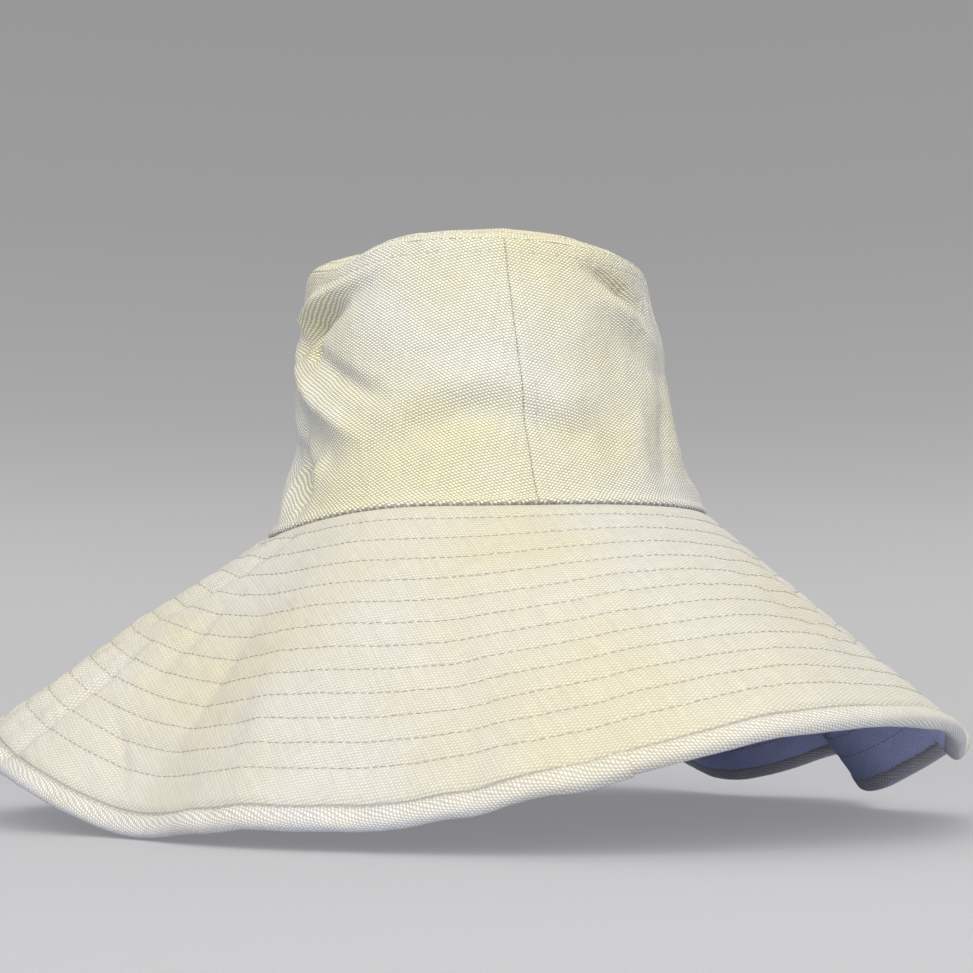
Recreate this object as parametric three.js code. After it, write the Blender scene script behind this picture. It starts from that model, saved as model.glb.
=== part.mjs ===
// Wide-brim canvas bucket hat, standing on its brim. Millimetres, +Z up.
// Azimuths are degrees, anticlockwise seen from above, 0 on +X, and -90 is the front.
import * as THREE from 'three';

// ---------------------------------------------------------------- driving dimensions
const HEAD = { halfWidth: 95, halfDepth: 97, height: 118, rise: 0.053 }; // seam of crown and brim
const TIP = { halfWidth: 74, halfDepth: 77, height: 228, shift: -4.5, dome: 13.5, flat: 0.35 };
const WALL_PINCH = 3.2;        // how far the crown wall draws in above the head seam
const CANVAS = 1.2;            // heavy plain-weave canvas
const INTERLINING = 0.6;       // stiffener inside the brim
const TAPE = 0.5;              // seam tape and label
const GAP = 0.35;              // clearance between neighbouring pieces
const SEAM_ALLOWANCE = 4.5;    // crown cloth that runs down behind the brim
const BRIM_WIDTH = 144;        // from the head seam to the outer edge, on the slope
const BRIM_SLOPE = 37.5;       // degrees below the horizontal, before the waves
const LAYER_GAP = 0.45;        // the brim's layers twist together, so they need a little more
const LAYERS_INSIDE = 2.6;     // the layers stop this far short of the bound edge
const BINDING_WIDTH = 8;
const BINDING_CLOTH = 1.0;
const BINDING_SWELL = 0.4;     // how far the binding's middle stands above its folded edges
const ROW_COUNT = 12;          // turns of quilting on the brim
const ROW_PITCH = 10.4;
const FIRST_ROW = 5;           // from the head seam
const TOPSTITCH = 5.5;         // from a seam to its topstitching
const THREAD = 0.5;
const THREAD_CLEAR = 0.55;     // how far a thread lies above its cloth
const CROWN_SEAM = -80;        // azimuth of the front crown seam; the other one is opposite
const BRIM_SEAM = -168;        // azimuth of the left brim seam; the other one is opposite
const SEAM_OPENING = 0.12;     // degrees that each panel stops short of its seam
const SWEATBAND_HEIGHT = 32;
const TAPE_REACH = 6;          // degrees that a side tape covers on each side of its seam
const TIP_TAPE = [0.88, 0.93, 0.97];   // heights on the wall, as shares
const LABEL = { from: 60, to: 84, bottom: 0.08, top: 0.25 };

// The waves of the brim: where each one is, how wide it is, and how much steeper it hangs there.
const WAVES = [
  { at: -175, width: 20, steeper: -2.6 },
  { at: -138.2, width: 15, steeper: 9.7 },
  { at: -109.2, width: 32, steeper: 15 },
  { at: -59.3, width: 19.5, steeper: -3.7 },
  { at: -19.4, width: 11, steeper: 6 },
  { at: 10.9, width: 12.6, steeper: 17.8 },
  { at: 45.5, width: 17, steeper: 17 },
  { at: 95.5, width: 19, steeper: 2.7 },
  { at: 138, width: 20, steeper: 14 },
];
const NARROW_WAVE = 16;        // a wave this narrow gets finer stations over its reach
const WAVE_REACH = 1.4;
const FINE_STATION = 3.75;

const CREAM = 0xdedbc4;
const WARM_WHITE = 0xe7e3d6;
const THREAD_COLOUR = 0xd8d3bd;
const LINING_COLOUR = 0xcfcbb8;

// ---------------------------------------------------------------- small helpers
const radians = THREE.MathUtils.degToRad;
const lerp = THREE.MathUtils.lerp;
const wrap = (degrees) => THREE.MathUtils.euclideanModulo(degrees + 180, 360) - 180;

function range(count, start, end) {
  return Array.from({ length: count + 1 }, (_, i) => lerp(start, end, i / count));
}

// A closed body carried through a list of sections, each a closed polygon of points. An open
// body's section is one side of a sheet and then the other side backwards, so that its two
// ends can be closed with strips. Both sides are split along the same diagonals, so that the
// sheets of a stack stay parallel.
function loft(sections, closed) {
  const count = sections[0].length;
  const indices = [];
  const spans = closed ? sections.length : sections.length - 1;
  for (let i = 0; i < spans; i += 1) {
    const here = i * count;
    const next = ((i + 1) % sections.length) * count;
    for (let k = 0; k < count; k += 1) {
      const l = (k + 1) % count;
      if (k < count / 2) indices.push(here + k, here + l, next + l, here + k, next + l, next + k);
      else indices.push(here + k, here + l, next + k, here + l, next + l, next + k);
    }
  }
  if (!closed) {
    const last = (sections.length - 1) * count;
    for (let k = 0; k < Math.floor(count / 2); k += 1) {
      const a = count - 1 - k;
      const b = a - 1;
      if (b > k) indices.push(k, a, b, last + k, last + b, last + a);
      if (b > k + 1) indices.push(k, b, k + 1, last + k, last + k + 1, last + b);
    }
  }
  return solid(sections.flat(), indices);
}

// A geometry from points and triangles, turned the right way out by the sign of its volume.
function solid(points, indices) {
  let volume = 0;
  for (let i = 0; i < indices.length; i += 3) {
    const [a, b, c] = [0, 1, 2].map((k) => points[indices[i + k]]);
    volume += a.dot(new THREE.Vector3().crossVectors(b, c));
  }
  if (volume < 0) indices.reverse();
  const geometry = new THREE.BufferGeometry();
  geometry.setFromPoints(points);
  geometry.setIndex(indices);
  geometry.computeVertexNormals();
  return geometry;
}

const group = new THREE.Group();

function addPiece(name, geometry, color, roughness = 0.9) {
  const material = new THREE.MeshStandardMaterial({ color, roughness, metalness: 0 });
  const mesh = new THREE.Mesh(geometry, material);
  mesh.name = name;
  group.add(mesh);
}

// ---------------------------------------------------------------- the brim's surface
function brimSlope(azimuth) {
  const extra = WAVES.map(({ at, width, steeper }) => {
    const away = wrap(azimuth - at) / width;
    return steeper * Math.exp(-away * away);
  });
  return radians(BRIM_SLOPE + extra.reduce((sum, value) => sum + value, 0));
}

// A point of the brim: along is the distance down the slope from the head seam, lift the
// height above the upper face, measured square to it.
function brimPoint(azimuth, along, lift) {
  const angle = radians(azimuth);
  const slope = brimSlope(azimuth);
  const outward = new THREE.Vector2(
    Math.cos(angle) / HEAD.halfWidth,
    Math.sin(angle) / HEAD.halfDepth,
  ).normalize();
  const x = HEAD.halfWidth * Math.cos(angle);
  const y = HEAD.halfDepth * Math.sin(angle);
  const reach = along * Math.cos(slope) + lift * Math.sin(slope);
  return new THREE.Vector3(
    x + reach * outward.x,
    y + reach * outward.y,
    HEAD.height + HEAD.rise * x - along * Math.sin(slope) + lift * Math.cos(slope),
  );
}

// Where a face of a brim layer starts, just clear of the crown wall that runs down behind it.
function brimStart(azimuth, lift) {
  const slope = brimSlope(azimuth);
  return (GAP - lift * Math.sin(slope)) / Math.cos(slope);
}

// Azimuths round half the brim, closer together where a narrow wave bends the cloth.
function brimStations(start, end) {
  const stations = [start + SEAM_OPENING];
  const isLively = (azimuth) => WAVES.some(({ at, width }) => (
    width < NARROW_WAVE && Math.abs(wrap(azimuth - at)) < WAVE_REACH * width
  ));
  while (stations.at(-1) < end - SEAM_OPENING - FINE_STATION) {
    const here = stations.at(-1);
    stations.push(here + (isLively(here) ? FINE_STATION : 2 * FINE_STATION));
  }
  if (end - stations.at(-1) < FINE_STATION / 2) stations.pop();
  stations.push(end - SEAM_OPENING);
  return stations.filter((azimuth) => azimuth <= end - SEAM_OPENING);
}

const FRONT_STATIONS = brimStations(BRIM_SEAM, BRIM_SEAM + 180);
const BACK_STATIONS = brimStations(BRIM_SEAM + 180, BRIM_SEAM + 360);
const RING_STATIONS = [...FRONT_STATIONS, ...BACK_STATIONS];

function brimLayer(stations, top, thickness) {
  const end = BRIM_WIDTH - LAYERS_INSIDE;
  const face = (azimuth, lift) => [brimStart(azimuth, lift), ...range(5, end / 6, end)]
    .map((along) => brimPoint(azimuth, along, lift));
  const sections = stations.map((azimuth) => [
    ...face(azimuth, top),
    ...face(azimuth, top - thickness).reverse(),
  ]);
  return loft(sections, false);
}

const INTERLINING_TOP = -CANVAS - LAYER_GAP;
const UNDER_TOP = INTERLINING_TOP - INTERLINING - LAYER_GAP;
const BRIM_BOTTOM = UNDER_TOP - CANVAS;

for (const [side, stations] of [['front', FRONT_STATIONS], ['back', BACK_STATIONS]]) {
  addPiece(`brim_top_${side}`, brimLayer(stations, 0, CANVAS), CREAM);
  addPiece(`brim_interlining_${side}`, brimLayer(stations, INTERLINING_TOP, INTERLINING), WARM_WHITE);
  addPiece(`brim_under_${side}`, brimLayer(stations, UNDER_TOP, CANVAS), CREAM);
}

// The binding wraps the outer edge: down over the upper face, round, and back underneath.
function brimBinding() {
  const inner = BRIM_WIDTH - BINDING_WIDTH;
  const middle = BRIM_BOTTOM / 2;
  const half = GAP + BINDING_CLOTH - middle;
  const crest = [inner + BINDING_WIDTH / 2, half + BINDING_SWELL];
  const corner = [BRIM_WIDTH - 0.11 * BINDING_WIDTH, 0.72 * half];
  const hollow = [BRIM_WIDTH - 2 * BINDING_CLOTH, half - BINDING_CLOTH];
  const below = ([along, lift]) => [along, -lift];
  const profile = [
    [inner, half], crest, corner, [BRIM_WIDTH, 0], below(corner), below(crest), [inner, -half],
    [inner, BINDING_CLOTH - half], below(hollow), hollow, [inner, half - BINDING_CLOTH],
  ];
  const sections = RING_STATIONS.map((azimuth) => profile
    .map(([along, lift]) => brimPoint(azimuth, along, middle + lift)));
  return loft(sections, true);
}
addPiece('brim_binding', brimBinding(), WARM_WHITE);

// A thread lies on a face with a three-sided section, flat side down.
function threadSection(place, across, clear = THREAD_CLEAR) {
  return [
    place(across - THREAD, clear), place(across, clear + THREAD), place(across + THREAD, clear),
  ];
}

// The quilting is one thread, sewn as a spiral from the head seam to the binding.
function quiltingThread() {
  const sections = [];
  for (let turn = 0; turn < ROW_COUNT; turn += 1) {
    for (const azimuth of RING_STATIONS) {
      const along = FIRST_ROW + ROW_PITCH * (turn + (azimuth - RING_STATIONS[0]) / 360);
      sections.push(threadSection((s, lift) => brimPoint(azimuth, s, lift), along));
    }
  }
  return loft(sections, false);
}
addPiece('brim_quilting_thread', quiltingThread(), THREAD_COLOUR);

const BINDING_TOP = GAP + BINDING_CLOTH;
const BINDING_ROW = 1.5;       // from the binding's folded edge to its stitches
addPiece('binding_stitch', loft(RING_STATIONS.map((azimuth) => threadSection(
  (along, lift) => brimPoint(azimuth, along, BINDING_TOP + lift),
  BRIM_WIDTH - BINDING_WIDTH + BINDING_ROW,
)), true), THREAD_COLOUR);

// ---------------------------------------------------------------- the crown
// A point of the crown wall: up runs from 0 at the head seam to 1 at the tip seam, and inset is
// the distance inside the outer face.
function wallPoint(azimuth, up, inset) {
  const angle = radians(azimuth);
  const pinch = WALL_PINCH * 6.75 * up * (1 - up) ** 2;
  const width = lerp(HEAD.halfWidth, TIP.halfWidth, up) - pinch - inset;
  const depth = lerp(HEAD.halfDepth, TIP.halfDepth, up) - pinch - inset;
  const x = lerp(0, TIP.shift, up) + width * Math.cos(angle);
  const base = HEAD.height + HEAD.rise * HEAD.halfWidth * Math.cos(angle);
  return new THREE.Vector3(x, depth * Math.sin(angle), lerp(base, TIP.height, up));
}

// The same wall below the head seam, where the seam allowance hangs straight down.
function wallOrAllowance(azimuth, up, inset) {
  const point = wallPoint(azimuth, Math.max(up, 0), inset);
  if (up < 0) point.z += up * (TIP.height - HEAD.height);
  return point;
}

const WALL_HEIGHT = TIP.height - HEAD.height;
const ALLOWANCE_UP = -SEAM_ALLOWANCE / WALL_HEIGHT;
const TIP_CLEAR = 1.5;         // the wall stops this far below the tip
const WALL_TOP = 1 - TIP_CLEAR / WALL_HEIGHT;

// A sheet lying on the wall between two azimuths and two heights.
function wallSheet(azimuths, heights, inset, thickness, closed = false) {
  const face = (azimuth, depth) => heights.map((up) => wallOrAllowance(azimuth, up, depth));
  const sections = azimuths.map((azimuth) => [
    ...face(azimuth, inset),
    ...face(azimuth, inset + thickness).reverse(),
  ]);
  return loft(sections, closed);
}

const WALL_RINGS = range(4, 0, WALL_TOP);
const PANEL_HEIGHTS = [ALLOWANCE_UP, ...WALL_RINGS];
const panelAzimuths = (start) => range(20, start + SEAM_OPENING, start + 180 - SEAM_OPENING);
addPiece('crown_panel_right', wallSheet(panelAzimuths(CROWN_SEAM), PANEL_HEIGHTS, 0, CANVAS), CREAM);
addPiece('crown_panel_left', wallSheet(panelAzimuths(CROWN_SEAM + 180), PANEL_HEIGHTS, 0, CANVAS), CREAM);

// The tip is an oval dome with a flat middle, closed underneath by the same dome one cloth lower.
function tipPoint(azimuth, out, drop) {
  const angle = radians(azimuth);
  return new THREE.Vector3(
    TIP.shift + out * TIP.halfWidth * Math.cos(angle),
    out * TIP.halfDepth * Math.sin(angle),
    TIP.height + TIP.dome * (1 - Math.max(out, TIP.flat) ** 4) - drop,
  );
}

function crownTip() {
  const rings = [1, 0.94, 0.86, 0.74, 0.58, TIP.flat];
  const azimuths = range(40, 0, 360).slice(0, -1);
  const points = [];
  for (const drop of [0, CANVAS]) {
    points.push(tipPoint(0, 0, drop));
    for (const out of rings) points.push(...azimuths.map((azimuth) => tipPoint(azimuth, out, drop)));
  }
  const count = azimuths.length;
  const face = 1 + rings.length * count;
  const at = (side, ring, k) => side * face + 1 + ring * count + (k % count);
  const indices = [];
  for (let k = 0; k < count; k += 1) {
    indices.push(0, at(0, rings.length - 1, k), at(0, rings.length - 1, k + 1));
    indices.push(face, at(1, rings.length - 1, k + 1), at(1, rings.length - 1, k));
    for (let ring = 0; ring < rings.length - 1; ring += 1) {
      indices.push(at(0, ring, k), at(0, ring, k + 1), at(0, ring + 1, k + 1));
      indices.push(at(0, ring, k), at(0, ring + 1, k + 1), at(0, ring + 1, k));
      indices.push(at(1, ring, k), at(1, ring + 1, k + 1), at(1, ring, k + 1));
      indices.push(at(1, ring, k), at(1, ring + 1, k), at(1, ring + 1, k + 1));
    }
    indices.push(at(0, 0, k), at(1, 0, k), at(1, 0, k + 1));
    indices.push(at(0, 0, k), at(1, 0, k + 1), at(0, 0, k + 1));
  }
  return solid(points, indices);
}
addPiece('crown_tip', crownTip(), CREAM);

// Inside, a tape covers the tip seam and each of the two upright seams.
const TAPE_INSET = CANVAS + 2 * GAP;
const wholeTurn = range(40, 0, 360).slice(0, -1);
addPiece('tip_seam_tape', wallSheet(wholeTurn, TIP_TAPE, TAPE_INSET, TAPE, true), LINING_COLOUR);
for (const [side, seam] of [['front', CROWN_SEAM], ['back', CROWN_SEAM + 180]]) {
  const azimuths = range(4, seam - TAPE_REACH, seam + TAPE_REACH);
  const tape = wallSheet(azimuths, WALL_RINGS.slice(0, -1), TAPE_INSET, TAPE);
  addPiece(`side_seam_tape_${side}`, tape, LINING_COLOUR);
}

// The sweatband lines the head opening over the tapes; its ends meet at the back crown seam.
const SWEATBAND_INSET = TAPE_INSET + TAPE + 2 * GAP;
const SWEATBAND_TOP = SWEATBAND_HEIGHT / WALL_HEIGHT;
const bandAzimuths = panelAzimuths(CROWN_SEAM + 180).slice(0, -1)
  .concat(range(20, CROWN_SEAM + 360, CROWN_SEAM + 540 - SEAM_OPENING));
const bandHeights = [ALLOWANCE_UP, 0, WALL_RINGS[1], SWEATBAND_TOP];
addPiece('sweatband', wallSheet(bandAzimuths, bandHeights, SWEATBAND_INSET, CANVAS), WARM_WHITE);

const SWEATBAND_FACE = SWEATBAND_INSET + CANVAS;
const labelAzimuths = range(5, LABEL.from, LABEL.to);
const labelHeights = range(2, LABEL.bottom, LABEL.top);
const label = wallSheet(labelAzimuths, labelHeights, SWEATBAND_FACE + GAP, TAPE);
addPiece('size_label', label, WARM_WHITE);

const SWEATBAND_ROW = 3;       // from the head seam to the stitches that hold the sweatband
const SUNK = 0.2;
addPiece('sweatband_stitch', loft(wholeTurn.map((azimuth) => threadSection(
  (up, lift) => wallPoint(azimuth, up / WALL_HEIGHT, SWEATBAND_FACE - SUNK + lift),
  SWEATBAND_ROW,
)), true), THREAD_COLOUR);

// Topstitching on both sides of the tip seam and of each upright seam.
addPiece('tip_topstitch_lower', loft(wholeTurn.map((azimuth) => threadSection(
  (up, lift) => wallPoint(azimuth, 1 - up / WALL_HEIGHT, -lift),
  TOPSTITCH,
)), true), THREAD_COLOUR);
addPiece('tip_topstitch_upper', loft(wholeTurn.map((azimuth) => threadSection(
  (across, lift) => tipPoint(azimuth, 1 - across / TIP.halfWidth, -lift),
  TOPSTITCH,
  THREAD_CLEAR + SUNK,
)), true), THREAD_COLOUR);

for (const [side, seam] of [['front', CROWN_SEAM], ['back', CROWN_SEAM + 180]]) {
  for (const [hand, sign] of [['left', -1], ['right', 1]]) {
    const sections = range(5, 0.02, 0.92).map((up) => {
      const radius = lerp(HEAD.halfWidth, TIP.halfWidth, up);
      const place = (across, lift) => wallPoint(
        seam + THREE.MathUtils.radToDeg(across / radius),
        up,
        -lift,
      );
      return threadSection(place, sign * TOPSTITCH);
    });
    addPiece(`crown_topstitch_${side}_${hand}`, loft(sections, false), THREAD_COLOUR);
  }
}

// ---------------------------------------------------------------- the frame
// The origin is under the middle of the hat, on the surface that it stands on.
const box = new THREE.Box3().setFromObject(group);
const middle = box.getCenter(new THREE.Vector3());
group.position.set(-middle.x, -middle.y, -box.min.z);

export default group;
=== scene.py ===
# %% [markdown]
# # A wide-brim canvas bucket hat
#
# The hat is sewn from heavy undyed canvas: an oval tip, two side panels, and a wide brim of two
# cloths with a stiff interlining between them, quilted in rows and bound at its edge. It stands
# on its brim, which has settled into waves. This lesson builds the visible hat round a plain
# CAD model of it: every piece is a surface computed with numpy, and every size comes from the
# frame that the CAD model gives.

# %% Load the frame and keep the CAD model's box
import math

import bpy
import numpy as np
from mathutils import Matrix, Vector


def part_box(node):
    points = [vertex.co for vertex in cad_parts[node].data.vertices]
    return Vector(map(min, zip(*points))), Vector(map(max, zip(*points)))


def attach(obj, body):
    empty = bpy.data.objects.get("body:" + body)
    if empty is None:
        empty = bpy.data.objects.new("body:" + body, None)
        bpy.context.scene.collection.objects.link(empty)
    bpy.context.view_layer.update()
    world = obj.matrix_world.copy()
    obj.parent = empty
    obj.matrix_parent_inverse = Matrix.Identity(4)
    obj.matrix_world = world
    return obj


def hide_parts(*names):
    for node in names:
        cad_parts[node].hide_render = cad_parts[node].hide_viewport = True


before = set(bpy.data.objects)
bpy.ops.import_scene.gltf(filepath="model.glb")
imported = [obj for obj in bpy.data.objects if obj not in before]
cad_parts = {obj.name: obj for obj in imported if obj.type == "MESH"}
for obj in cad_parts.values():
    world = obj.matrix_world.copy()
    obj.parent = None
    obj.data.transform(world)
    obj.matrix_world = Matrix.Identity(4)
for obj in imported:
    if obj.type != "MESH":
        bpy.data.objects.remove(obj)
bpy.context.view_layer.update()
MM = 0.001

# %% [markdown]
# ## The driving sizes
#
# The frame gives each node's box. The two side panels of the crown stand between the head seam,
# where crown and brim meet, and the tip seam, so their box gives the head seam's oval, and the
# tip's box gives the other one. Azimuths are degrees, anticlockwise seen from above, with 0 on
# +X and -90 at the front.

# %% Read the two ovals of the crown from the frame
CLOTH = 1.2 * MM
panel_boxes = np.array([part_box(f"crown_panel_{side}") for side in ("left", "right")])
panels_low, panels_high = panel_boxes[:, 0].min(axis=0), panel_boxes[:, 1].max(axis=0)
tip_low, tip_high = (np.array(corner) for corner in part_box("crown_tip"))

HEAD_CENTRE = (panels_low + panels_high)[:2] / 2
HEAD_HALF = (panels_high - panels_low)[:2] / 2
HEAD_RISE = 0.053                     # the head seam climbs this much per metre towards +X
SEAM_ALLOWANCE = 4.5 * MM
HEAD_HEIGHT = panels_low[2] + SEAM_ALLOWANCE + HEAD_RISE * HEAD_HALF[0]
TIP_CENTRE = (tip_low + tip_high)[:2] / 2
TIP_HALF = (tip_high - tip_low)[:2] / 2
TIP_HEIGHT = tip_low[2] + CLOTH
TIP_DOME = tip_high[2] - TIP_HEIGHT
WALL_HEIGHT = TIP_HEIGHT - HEAD_HEIGHT
BRIM_WIDTH = 144 * MM                 # from the head seam to the bound edge, down the slope
BRIM_THICKNESS = 3.9 * MM
BINDING_WIDTH = 8 * MM
CROWN_SEAMS = {"front": -80.0, "back": 100.0}
BRIM_SEAMS = {"left": -168.0, "right": 12.0}
print(f"head seam {2 * HEAD_HALF / MM} mm across at {HEAD_HEIGHT / MM:.1f} mm")
print(f"tip seam {2 * TIP_HALF / MM} mm across at {TIP_HEIGHT / MM:.1f} mm, dome {TIP_DOME / MM:.1f} mm")

# %% [markdown]
# ## Camera
#
# The hat fills the picture from side to side. The camera stands low, a little under half the
# head seam's height from the floor, three quarters of a metre away, and looks up slightly. A
# long lens keeps the brim from looking stretched.

# %% Place the camera
LENS = 63.7
TILT_UP = math.radians(6.6)
camera = bpy.data.objects.new("camera", bpy.data.cameras.new("camera"))
camera.data.lens = LENS
camera.data.sensor_width = 36.0
camera.location = (HEAD_CENTRE[0], HEAD_CENTRE[1] - 0.75, HEAD_HEIGHT - 0.068)
camera.rotation_euler = (math.pi / 2 + TILT_UP, 0.0, 0.0)
bpy.context.collection.objects.link(camera)
bpy.context.scene.camera = camera
print("camera at", [round(v, 3) for v in camera.location])

# %% [markdown]
# ## Helpers for surfaces
#
# A piece of cloth here is a function of two numbers, such as an azimuth and a distance down the
# brim, which gives a point in space. Whole arrays go in and come out, so a surface of fifty
# thousand points takes no loop. Three helpers do the rest: one finds the normals of any such
# surface, one lays a smooth random ripple over space, and one turns a grid of points into a
# mesh with its flat pattern as the UV map.

# %% Normals, ripples and soft steps
def unit(vectors):
    """Each vector divided by its own length."""
    return vectors / np.linalg.norm(vectors, axis=-1, keepdims=True)


def normals(surface, a, b, step_a=0.05, step_b=0.2 * MM):
    """The cross product of a surface's two slopes, each taken as a difference over a small step."""
    slope_a = surface(a + step_a, b) - surface(a - step_a, b)
    slope_b = surface(a, b + step_b) - surface(a, b - step_b)
    return unit(np.cross(slope_a, slope_b))


def raised(surface, a, b, lift, outwards):
    """The surface's point, moved along its normal by lift; outwards is +1 or -1."""
    return surface(a, b) + outwards * np.asarray(lift)[..., None] * normals(surface, a, b)


def ripple(points, wavelength, seed, waves=14):
    """A smooth random field, about -1 to 1: the mean of sine waves that cross space in random
    directions, all with nearly the same wavelength."""
    random = np.random.default_rng(seed)
    directions = unit(random.normal(size=(waves, 3)))
    numbers = 2 * np.pi / (wavelength * random.uniform(0.75, 1.5, waves))
    phases = random.uniform(0, 2 * np.pi, waves)
    field = np.sin(points @ (directions * numbers[:, None]).T + phases)
    return field.sum(axis=-1) / math.sqrt(waves) * 1.2


def bump(distance, width):
    """1 at distance 0 and fading to nothing over width: exp(-(distance / width) squared)."""
    return np.exp(-np.square(distance / width))


def plateau(distance, half_width, edge):
    """1 within half_width of 0, and a soft step down to 0 over edge on each side."""
    return 0.5 - 0.5 * np.tanh((np.abs(distance) - half_width) / edge)


def turned(azimuth, centre):
    """The azimuth measured from centre, brought between -180 and 180 degrees."""
    return (azimuth - centre + 180) % 360 - 180


# %% Turn a grid of points into a mesh
def cloth_mesh(name, points, uv, round_about=False):
    """A mesh of quads through a grid of points, joined end to start if round_about is true.
    uv gives the same grid's places in the flat pattern, in metres."""
    rows, columns = points.shape[:2]
    spans = rows if round_about else rows - 1
    i, j = np.meshgrid(np.arange(spans), np.arange(columns - 1), indexing="ij")
    here, after = i * columns + j, (i + 1) % rows * columns + j
    quads = np.stack([here, after, after + 1, here + 1], axis=-1).reshape(-1, 4)
    uv_ends = uv
    if round_about:
        uv_ends = np.concatenate([uv[:rows], uv[rows:] if len(uv) > rows else uv[:1]])
    uv_quads = np.stack(
        [uv_ends[i, j], uv_ends[i + 1, j], uv_ends[i + 1, j + 1], uv_ends[i, j + 1]], axis=2
    )
    mesh = bpy.data.meshes.new(name)
    mesh.vertices.add(rows * columns)
    mesh.vertices.foreach_set("co", points.reshape(-1).astype(np.float32))
    mesh.loops.add(quads.size)
    mesh.loops.foreach_set("vertex_index", quads.reshape(-1).astype(np.int32))
    mesh.polygons.add(len(quads))
    mesh.polygons.foreach_set("loop_start", np.arange(0, quads.size, 4, dtype=np.int32))
    mesh.polygons.foreach_set("use_smooth", np.ones(len(quads), dtype=bool))
    layer = mesh.uv_layers.new(name="pattern")
    layer.data.foreach_set("uv", uv_quads.reshape(-1).astype(np.float32))
    mesh.update(calc_edges=True)
    mesh.validate()
    piece = bpy.data.objects.new(name, mesh)
    bpy.context.collection.objects.link(piece)
    return piece


def thickened(piece, thickness, material):
    """Gives a sheet its cloth thickness, inwards from the face that was computed."""
    solidify = piece.modifiers.new("cloth", "SOLIDIFY")
    solidify.thickness = thickness
    solidify.offset = -1.0
    solidify.use_even_offset = False
    piece.data.materials.append(material)
    return piece


def grid(a_values, b_values):
    """Two arrays that pair every a with every b."""
    return np.meshgrid(a_values, b_values, indexing="ij")

# %% [markdown]
# ## Folds that follow the cloth
#
# A crease in cloth is a line with a height: a ridge stands out, a valley goes in, and both fade
# away sideways. It could be sculpted by hand, but a short list of lines is easier to read and
# to change. Distances are measured in the flat pattern, where a millimetre is a millimetre
# everywhere, so a crease keeps its width from the crown to the edge of the brim.

# %% The height of a set of folds at every point of a pattern
def fold_height(pattern, path, width):
    """The height of one fold: along the path it runs evenly from point to point, and at a
    distance d from the path it is that height times exp(-(d / width) squared). path holds
    (u, v, height) in metres."""
    nearest = np.full(pattern.shape[:-1], np.inf)
    height = np.zeros(pattern.shape[:-1])
    for start, end in zip(path[:-1], path[1:]):
        step = end[:2] - start[:2]
        share = np.clip(((pattern - start[:2]) @ step) / (step @ step), 0, 1)
        distance = np.linalg.norm(pattern - start[:2] - share[..., None] * step, axis=-1)
        closer = distance < nearest
        height = np.where(closer, start[2] + share * (end[2] - start[2]), height)
        nearest = np.minimum(nearest, distance)
    return height * bump(nearest, width)


# %% [markdown]
# ## The brim's shape
#
# Each line from the head seam out to the edge is nearly straight and always equally long,
# because cloth doesn't stretch. Only its slope changes round the hat, and that is what makes
# the waves: where the slope is steep the edge hangs low and comes in, and where it is shallow
# the edge rises and reaches out. The two parts of the edge that hang lowest at the right make
# the deep flute that shows the brim's underside. The waves' numbers and the plain slope were
# found by a fit in another program and rounded. They were not chosen by hand.

# %% Slope, shape and flat pattern of the brim
BRIM_SLOPE = 37.5                     # degrees below the horizontal, before the waves
BRIM_WAVES = [                        # azimuth, half-width and extra slope, all in degrees
    (-175, 20, -2.6), (-138.2, 15, 9.7), (-109.2, 32, 15), (-59.3, 19.5, -3.7), (-19.4, 11, 6),
    (10.9, 12.6, 17.8), (45.5, 17, 17), (95.5, 19, 2.7), (138, 20, 14),
]
BRIM_BOW = 0.8 * MM                   # the brim bows up a little between its two edges
BRIM_GRAINS = {"front": -57.0, "back": 123.0}     # azimuths where the weave runs straight out
PATTERN_CONE = math.cos(math.radians(45))


def brim_slope(azimuth):
    """Radians: the plain slope plus, for each wave, its extra slope times a bump round it."""
    extra = sum(more * bump(turned(azimuth, at), width) for at, width, more in BRIM_WAVES)
    return np.radians(BRIM_SLOPE + extra)


def brim_pattern(azimuth, along, centre):
    """The brim rolled out flat. A cone becomes part of a ring: the distance from its point is
    the distance down the slope plus a constant, and angles shrink by the cosine of the slope."""
    reach = HEAD_HALF.mean() / PATTERN_CONE + along
    angle = np.radians(turned(azimuth, centre)) * PATTERN_CONE
    return np.stack([reach * np.sin(angle), -reach * np.cos(angle)], axis=-1)


def head_seam_height(azimuth):
    """The height of the head seam: tilted up towards +X, with a lift where the brim's front
    pulls and a dip where it folds."""
    lifted = 2.4 * MM * bump(turned(azimuth, -115), 22) - 1.2 * MM * bump(turned(azimuth, -157), 13)
    return HEAD_HEIGHT + HEAD_RISE * HEAD_HALF[0] * np.cos(np.radians(azimuth)) + lifted


def brim_line(azimuth, along):
    """The head seam's oval plus a straight line of length along, outwards and downwards."""
    azimuth, along = np.broadcast_arrays(azimuth, along)
    angle, slope = np.radians(azimuth), brim_slope(azimuth)
    seam = np.stack([HEAD_HALF[0] * np.cos(angle), HEAD_HALF[1] * np.sin(angle)], axis=-1)
    outward = unit(seam / np.square(HEAD_HALF))
    flat = seam + HEAD_CENTRE + (along * np.cos(slope))[..., None] * outward
    height = head_seam_height(azimuth) - along * np.sin(slope)
    return np.concatenate([flat, height[..., None]], axis=-1)


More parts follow.
